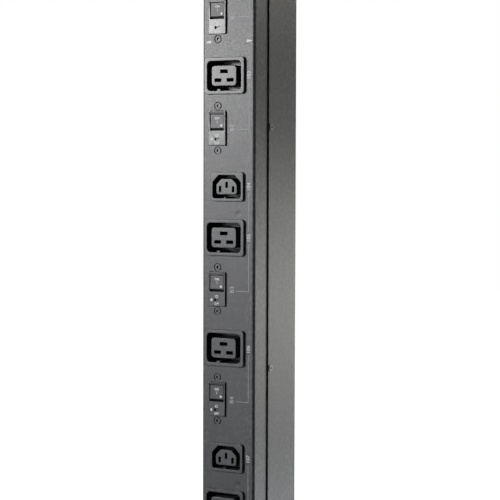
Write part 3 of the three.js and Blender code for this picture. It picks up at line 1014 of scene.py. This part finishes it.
def panel_print():
    """Outlet and breaker numbers, and the thin lines that tie a breaker to its outlets."""
    outlet_numbers, breaker_numbers, lines = Print(), Print(), Print()
    centres = [middle(name) for name in LARGE_OUTLETS + SMALL_OUTLETS]
    outlets = sorted(centres, key=lambda centre: -centre.z)
    for place, centre in enumerate(outlets, start=1):
        outlet_numbers.text(f"{100 + place}", LABEL_X, centre.z, 3.6 * MM, 1)
    for number in GROUPS:
        centre = middle(f"breaker_{number}")
        breaker_numbers.text(f"B{number}", centre.x + 15.6 * MM, centre.z, 4.4 * MM, 1)
        large = middle(f"large_outlet_{number}")
        members = [m.z for m in outlets if 0 <= m.z - large.z < 60 * MM]
        line_z, line_x = centre.z - 1.1 * MM, LABEL_X - 0.3 * MM
        lines.bar(centre.x + 19.7 * MM, line_z - LINE / 2, line_x + LINE, line_z + LINE / 2)
        lower = line_z + LINE / 2
        for member in sorted(members):
            lines.bar(line_x, lower, line_x + LINE, member - LABEL_HALF)
            lower = member + LABEL_HALF
    add(outlet_numbers.piece("outlet_numbers", WHITE_INK))
    add(breaker_numbers.piece("breaker_numbers", GREY_INK))
    add(lines.piece("group_lines", GREY_INK))


def panel_arrows():
    """Two tapered marks below the first breaker, whose wide ends face each other."""
    arrows = Print()
    z = middle("breaker_1").z - 23.3 * MM
    for x, side in ((-21.4 * MM, 1), (22 * MM, -1)):
        corners = [(-2.7, -0.5), (2.7, -1.2), (2.7, 1.2), (-2.7, 0.5)][::side]
        arrows.shape([(a * MM * side, b * MM) for a, b in corners], x, z)
    add(arrows.piece("panel_arrows", WHITE_INK))


def breaker_print(number):
    """The off marks, the dot and the pointer on the guard below a rocker."""
    centre = middle(f"breaker_{number}")
    x, z = centre.x, centre.z
    guard = Print(lambda z: BREAKER_FRONT)
    guard.text("O", x, z - 6.9 * MM, 2.6 * MM, bold=0.12 * MM)
    guard.text("OFF", x, z - 13.7 * MM, 2.1 * MM, bold=0.06 * MM)
    guard.dot(x - 5.6 * MM, z + TRIP_PLACE[1], 1.2 * MM)
    add(guard.piece(f"guard_print_{number}", WHITE_INK))
    pointer = Print(lambda z: BREAKER_FRONT)
    corners = [(-0.5, -10.4), (2.7, -9.6), (2.7, -8.7), (-0.5, -9.5)]
    pointer.shape([(a * MM, b * MM) for a, b in corners], x, z)
    add(pointer.piece(f"guard_pointer_{number}", BLACK_INK))


def rocker_print(number):
    """The on marks and the dot on a rocker, which ride with it."""
    centre = middle(f"breaker_{number}")
    paddle = Print(lambda z: paddle_front(z - centre.z))
    paddle.text("ON", centre.x, centre.z + 9.2 * MM, 2.2 * MM, bold=0.08 * MM)
    paddle.text("I", centre.x, centre.z + 5.7 * MM, 2.2 * MM, bold=0.1 * MM)
    paddle.dot(centre.x + 4.4 * MM, centre.z + 2.5 * MM, 1.15 * MM)
    add(paddle.piece(f"rocker_print_{number}", WHITE_INK), f"rocker_{number}")


# ---------------------------------------------------------------- carried-over nodes


def carried_over():
    """The CAD nodes that are shown as they are, with a material and rounded edges."""
    looks = {
        "top_cap": (CAP, 0.6 * MM),
        "bottom_cap": (CAP, 0.6 * MM),
        "gland_locknut": (GLAND, 0.4 * MM),
        "terminal_block": (INSULATOR, 0.4 * MM),
        "busbar_carrier": (INSULATOR, 0.4 * MM),
    }
    for conductor in ("line_1", "line_2", "line_3", "neutral", "earth"):
        looks[f"busbar_{conductor}"] = (COPPER, 0.2 * MM)
    for node, (material, width) in looks.items():
        data = NODES[node].data
        data.materials.clear()
        data.materials.append(material)
        soften(NODES[node], width)


# ---------------------------------------------------------------- studio


def aim(thing, target, roll=0.0):
    """Points a camera or light at the target."""
    turn = (Vector(target) - thing.location).to_track_quat("-Z", "Y")
    thing.rotation_mode = "QUATERNION"
    thing.rotation_quaternion = turn @ Quaternion((0, 0, 1), roll)


def camera():
    """Stands to the right of the front, a little above the middle of the strip, with a long lens."""
    yaw, pitch, roll = math.radians(29.57), math.radians(2.89), math.radians(0.16)
    distance = 1.5166
    target = Vector((0.02337, FRONT, 0.07045))
    level = math.cos(pitch)
    back = Vector((math.sin(yaw) * level, -math.cos(yaw) * level, math.sin(pitch)))
    data = bpy.data.cameras.new("camera")
    data.lens = 118.4
    data.sensor_width = 36
    thing = bpy.data.objects.new("camera", data)
    thing.location = target + back * distance
    aim(thing, target, roll)
    bpy.context.scene.collection.objects.link(thing)
    bpy.context.scene.camera = thing


WHITE = (1, 1, 1)


def softbox(name, azimuth, height, distance, size, radiance, color=WHITE, aim_height=None):
    """A rectangular light that faces the strip, azimuth degrees round from the front towards +X.

    It is level with what it faces unless that has a height of its own.
    """
    angle = math.radians(azimuth)
    data = bpy.data.lights.new(name, "AREA")
    data.shape = "RECTANGLE"
    data.size, data.size_y = size
    data.energy = radiance * math.pi * size[0] * size[1]
    data.color = color
    thing = bpy.data.objects.new(name, data)
    thing.location = (distance * math.sin(angle), FRONT - distance * math.cos(angle), height)
    aim(thing, (0, FRONT, height if aim_height is None else aim_height))
    thing.visible_camera = False
    bpy.context.scene.collection.objects.link(thing)


def lights():
    """Seen from the camera, the front mirrors the key lights and the right side the side lights."""
    softbox("key", -37, 0.365, 1.2, (0.28, 0.24), 70)
    softbox("key_low", -24, -0.15, 1.2, (0.4, 0.6), 4.8, (0.93, 0.96, 1))
    softbox("side_high", 150, 0.75, 1.2, (0.5, 0.4), 9, (1, 1, 0.92))
    softbox("side", 150, -0.065, 1.2, (0.5, 0.32), 6.4, (1, 1, 0.95))
    softbox("side_low", 150, -0.7, 1.2, (0.5, 0.6), 8.4, (0.94, 0.97, 1))
    softbox("rear", -176, 0.1, 1.5, (0.5, 1.4), 4)
    softbox("left", -100, -1, 1.5, (0.6, 0.6), 5)
    softbox("right", 90, 0, 1.5, (0.5, 1.8), 0.8)
    softbox("overhead", 180, 1.9, 0.4, (0.9, 0.9), 3, aim_height=CAD_BOX[1].z)


def backdrop():
    """White to the camera, but faint as a light."""
    world = bpy.data.worlds.new("studio")
    world.use_nodes = True
    nodes, links = world.node_tree.nodes, world.node_tree.links
    seen, lit, path, mix = (
        nodes["Background"],
        nodes.new("ShaderNodeBackground"),
        nodes.new("ShaderNodeLightPath"),
        nodes.new("ShaderNodeMixShader"),
    )
    for background in (seen, lit):
        background.inputs["Color"].default_value = (*WHITE, 1)
    lit.inputs["Strength"].default_value = 0.06
    links.new(path.outputs["Is Camera Ray"], mix.inputs["Fac"])
    links.new(lit.outputs["Background"], mix.inputs[1])
    links.new(seen.outputs["Background"], mix.inputs[2])
    links.new(mix.outputs["Shader"], nodes["World Output"].inputs["Surface"])
    bpy.context.scene.world = world
    bpy.context.scene.view_settings.view_transform = "Standard"


def white_floor():
    """A wide white floor some way below the strip, which lights nothing."""
    mesh = bmesh.new()
    half, drop = 8.0, 0.15
    for x, y in ((-half, -half), (half, -half), (half, half), (-half, half)):
        mesh.verts.new((x, y, CAD_BOX[0].z - drop))
    mesh.faces.new(mesh.verts)
    finish = Finish("floor", (0.9, 0.9, 0.9), 0.8)
    finish.mottle(finish.noise(0.2), 0.99, 1.01)
    finish.shader.inputs["Emission Color"].default_value = (*WHITE, 1)
    finish.shader.inputs["Emission Strength"].default_value = 1.0
    ground = piece_from(mesh, "floor", finish.material)
    ground.visible_diffuse = False
    ground.visible_glossy = False


# ---------------------------------------------------------------- assembly

camera()
lights()
backdrop()
white_floor()
front_cover()
rear_channel()
for names, size in ((LARGE_OUTLETS, LARGE), (SMALL_OUTLETS, SMALL)):
    for name in names:
        outlet(name, size)
        key_ribs(name, size)
        contacts(name, size)
for group in GROUPS:
    breaker(group)
    rocker(group)
    breaker_print(group)
    rocker_print(group)
    for end in ("upper", "lower"):
        panel_screw(f"breaker_screw_{group}_{end}")
for name in sorted(NODES):
    if name.startswith("side_screw_"):
        side_screw(name)
    if name.startswith("mounting_peg_"):
        mounting_peg(name)
gland_body()
gland_nut()
gland_seal()
panel_print()
panel_arrows()
carried_over()
